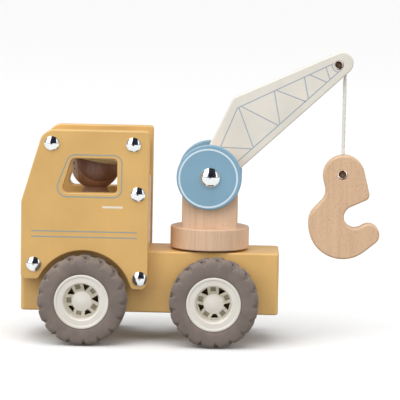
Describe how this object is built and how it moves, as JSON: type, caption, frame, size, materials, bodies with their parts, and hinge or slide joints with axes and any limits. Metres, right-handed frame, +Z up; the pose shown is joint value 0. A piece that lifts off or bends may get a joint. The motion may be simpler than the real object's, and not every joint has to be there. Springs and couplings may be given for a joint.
{
  "type": "toy crane truck",
  "caption": "Wooden toy crane truck: open cab with a peg driver, turning tower, luffing jib, and a wooden hook hanging on a string.",
  "frame": {"origin": "on the ground, under the middle of the overall box", "axes": "+X towards the truck's rear (the nose is at -X), +Y to the far side, +Z up"},
  "size_m": [0.2698, 0.099, 0.2203],
  "materials": {
    "ochre_paint": "satin ochre paint on wood",
    "beech": "clear satin varnish on beech",
    "blue_paint": "satin blue paint on wood",
    "cream_paint": "satin cream paint on wood",
    "chrome": "polished",
    "steel": "drawn bar",
    "brass": "turned",
    "nylon": "moulded, matt",
    "fibre": "matt fibre",
    "rim_plastic": "satin moulded",
    "tyre_rubber": "matt soft rubber",
    "string_cotton": "braided cotton",
    "driver_paint": "satin paint on turned wood",
    "driver_skin": "satin paint on turned wood",
    "driver_hat_paint": "satin paint on turned wood",
    "print_grey": "screen-printed ink",
    "print_white": "screen-printed ink"
  },
  "bodies": {
    "truck": {"chassis_block": "ochre_paint", "near_cab_side": "ochre_paint", "far_cab_side": "ochre_paint", "cab_front_wall": "ochre_paint", "cab_rear_wall": "ochre_paint", "cab_front_bar": "beech", "cab_rear_bar": "beech", "cab_bolts": "chrome", "cab_cap_nuts": "chrome", "front_axle_bushes": "nylon", "rear_axle_bushes": "nylon", "turntable_washer": "fibre", "pivot_bolt": "steel", "pivot_insert": "brass"},
    "front_wheels": {"front_axle": "steel", "front_near_tyre": "tyre_rubber", "front_near_rim": "rim_plastic", "front_near_hub_cap": "rim_plastic", "front_far_tyre": "tyre_rubber", "front_far_rim": "rim_plastic", "front_far_hub_cap": "rim_plastic"},
    "rear_wheels": {"rear_axle": "steel", "rear_near_tyre": "tyre_rubber", "rear_near_rim": "rim_plastic", "rear_near_hub_cap": "rim_plastic", "rear_far_tyre": "tyre_rubber", "rear_far_rim": "rim_plastic", "rear_far_hub_cap": "rim_plastic"},
    "crane": {"turntable": "beech", "post": "beech", "post_dowels": "beech", "near_drum_disc": "blue_paint", "far_drum_disc": "blue_paint", "jib_bolt": "chrome", "jib_cap_nut": "chrome"},
    "jib": {"jib": "cream_paint", "jib_washers": "fibre", "upper_knot": "string_cotton"},
    "string_link": {"string_link": "string_cotton"},
    "string": {"string": "string_cotton"},
    "hook": {"hook": "beech", "lower_knot": "string_cotton"},
    "driver": {"driver_body": "driver_paint", "driver_head": "driver_skin", "driver_hat": "driver_hat_paint"}
  },
  "joints": [
    {"name": "front_wheels_roll", "type": "hinge", "parent": "truck", "child": "front_wheels", "pos_m": [-0.0871, 0, 0.0333], "axis": [0, 1, 0], "continuous": true},
    {"name": "rear_wheels_roll", "type": "hinge", "parent": "truck", "child": "rear_wheels", "pos_m": [0.011, 0, 0.0333], "axis": [0, 1, 0], "continuous": true},
    {"name": "crane_slew", "type": "hinge", "parent": "truck", "child": "crane", "pos_m": [0.0063, 0, 0.0785], "axis": [0, 0, 1], "range_deg": [-100, 100]},
    {"name": "jib_luff", "type": "hinge", "parent": "crane", "child": "jib", "pos_m": [0.0063, 0, 0.1255], "axis": [0, -1, 0], "range_deg": [-30, 15]},
    {"name": "string_hang", "type": "hinge", "parent": "jib", "child": "string_link", "pos_m": [0.106, 0, 0.20232], "axis": [0, -1, 0], "range_deg": [-15, 30]},
    {"name": "string_sway", "type": "hinge", "parent": "string_link", "child": "string", "pos_m": [0.106, 0, 0.20232], "axis": [1, 0, 0], "range_deg": [-12, 12]},
    {"name": "hook_turn", "type": "hinge", "parent": "string", "child": "hook", "pos_m": [0.106, 0, 0.1425], "axis": [0, 0, 1], "continuous": true},
    {"name": "driver_lift", "type": "slide", "parent": "truck", "child": "driver", "axis": [0, 0, 1], "range_m": [0, 0.1]}
  ],
  "couplings": [
    {"joint": "string_hang", "follows": "jib_luff", "ratio": -1}
  ]
}
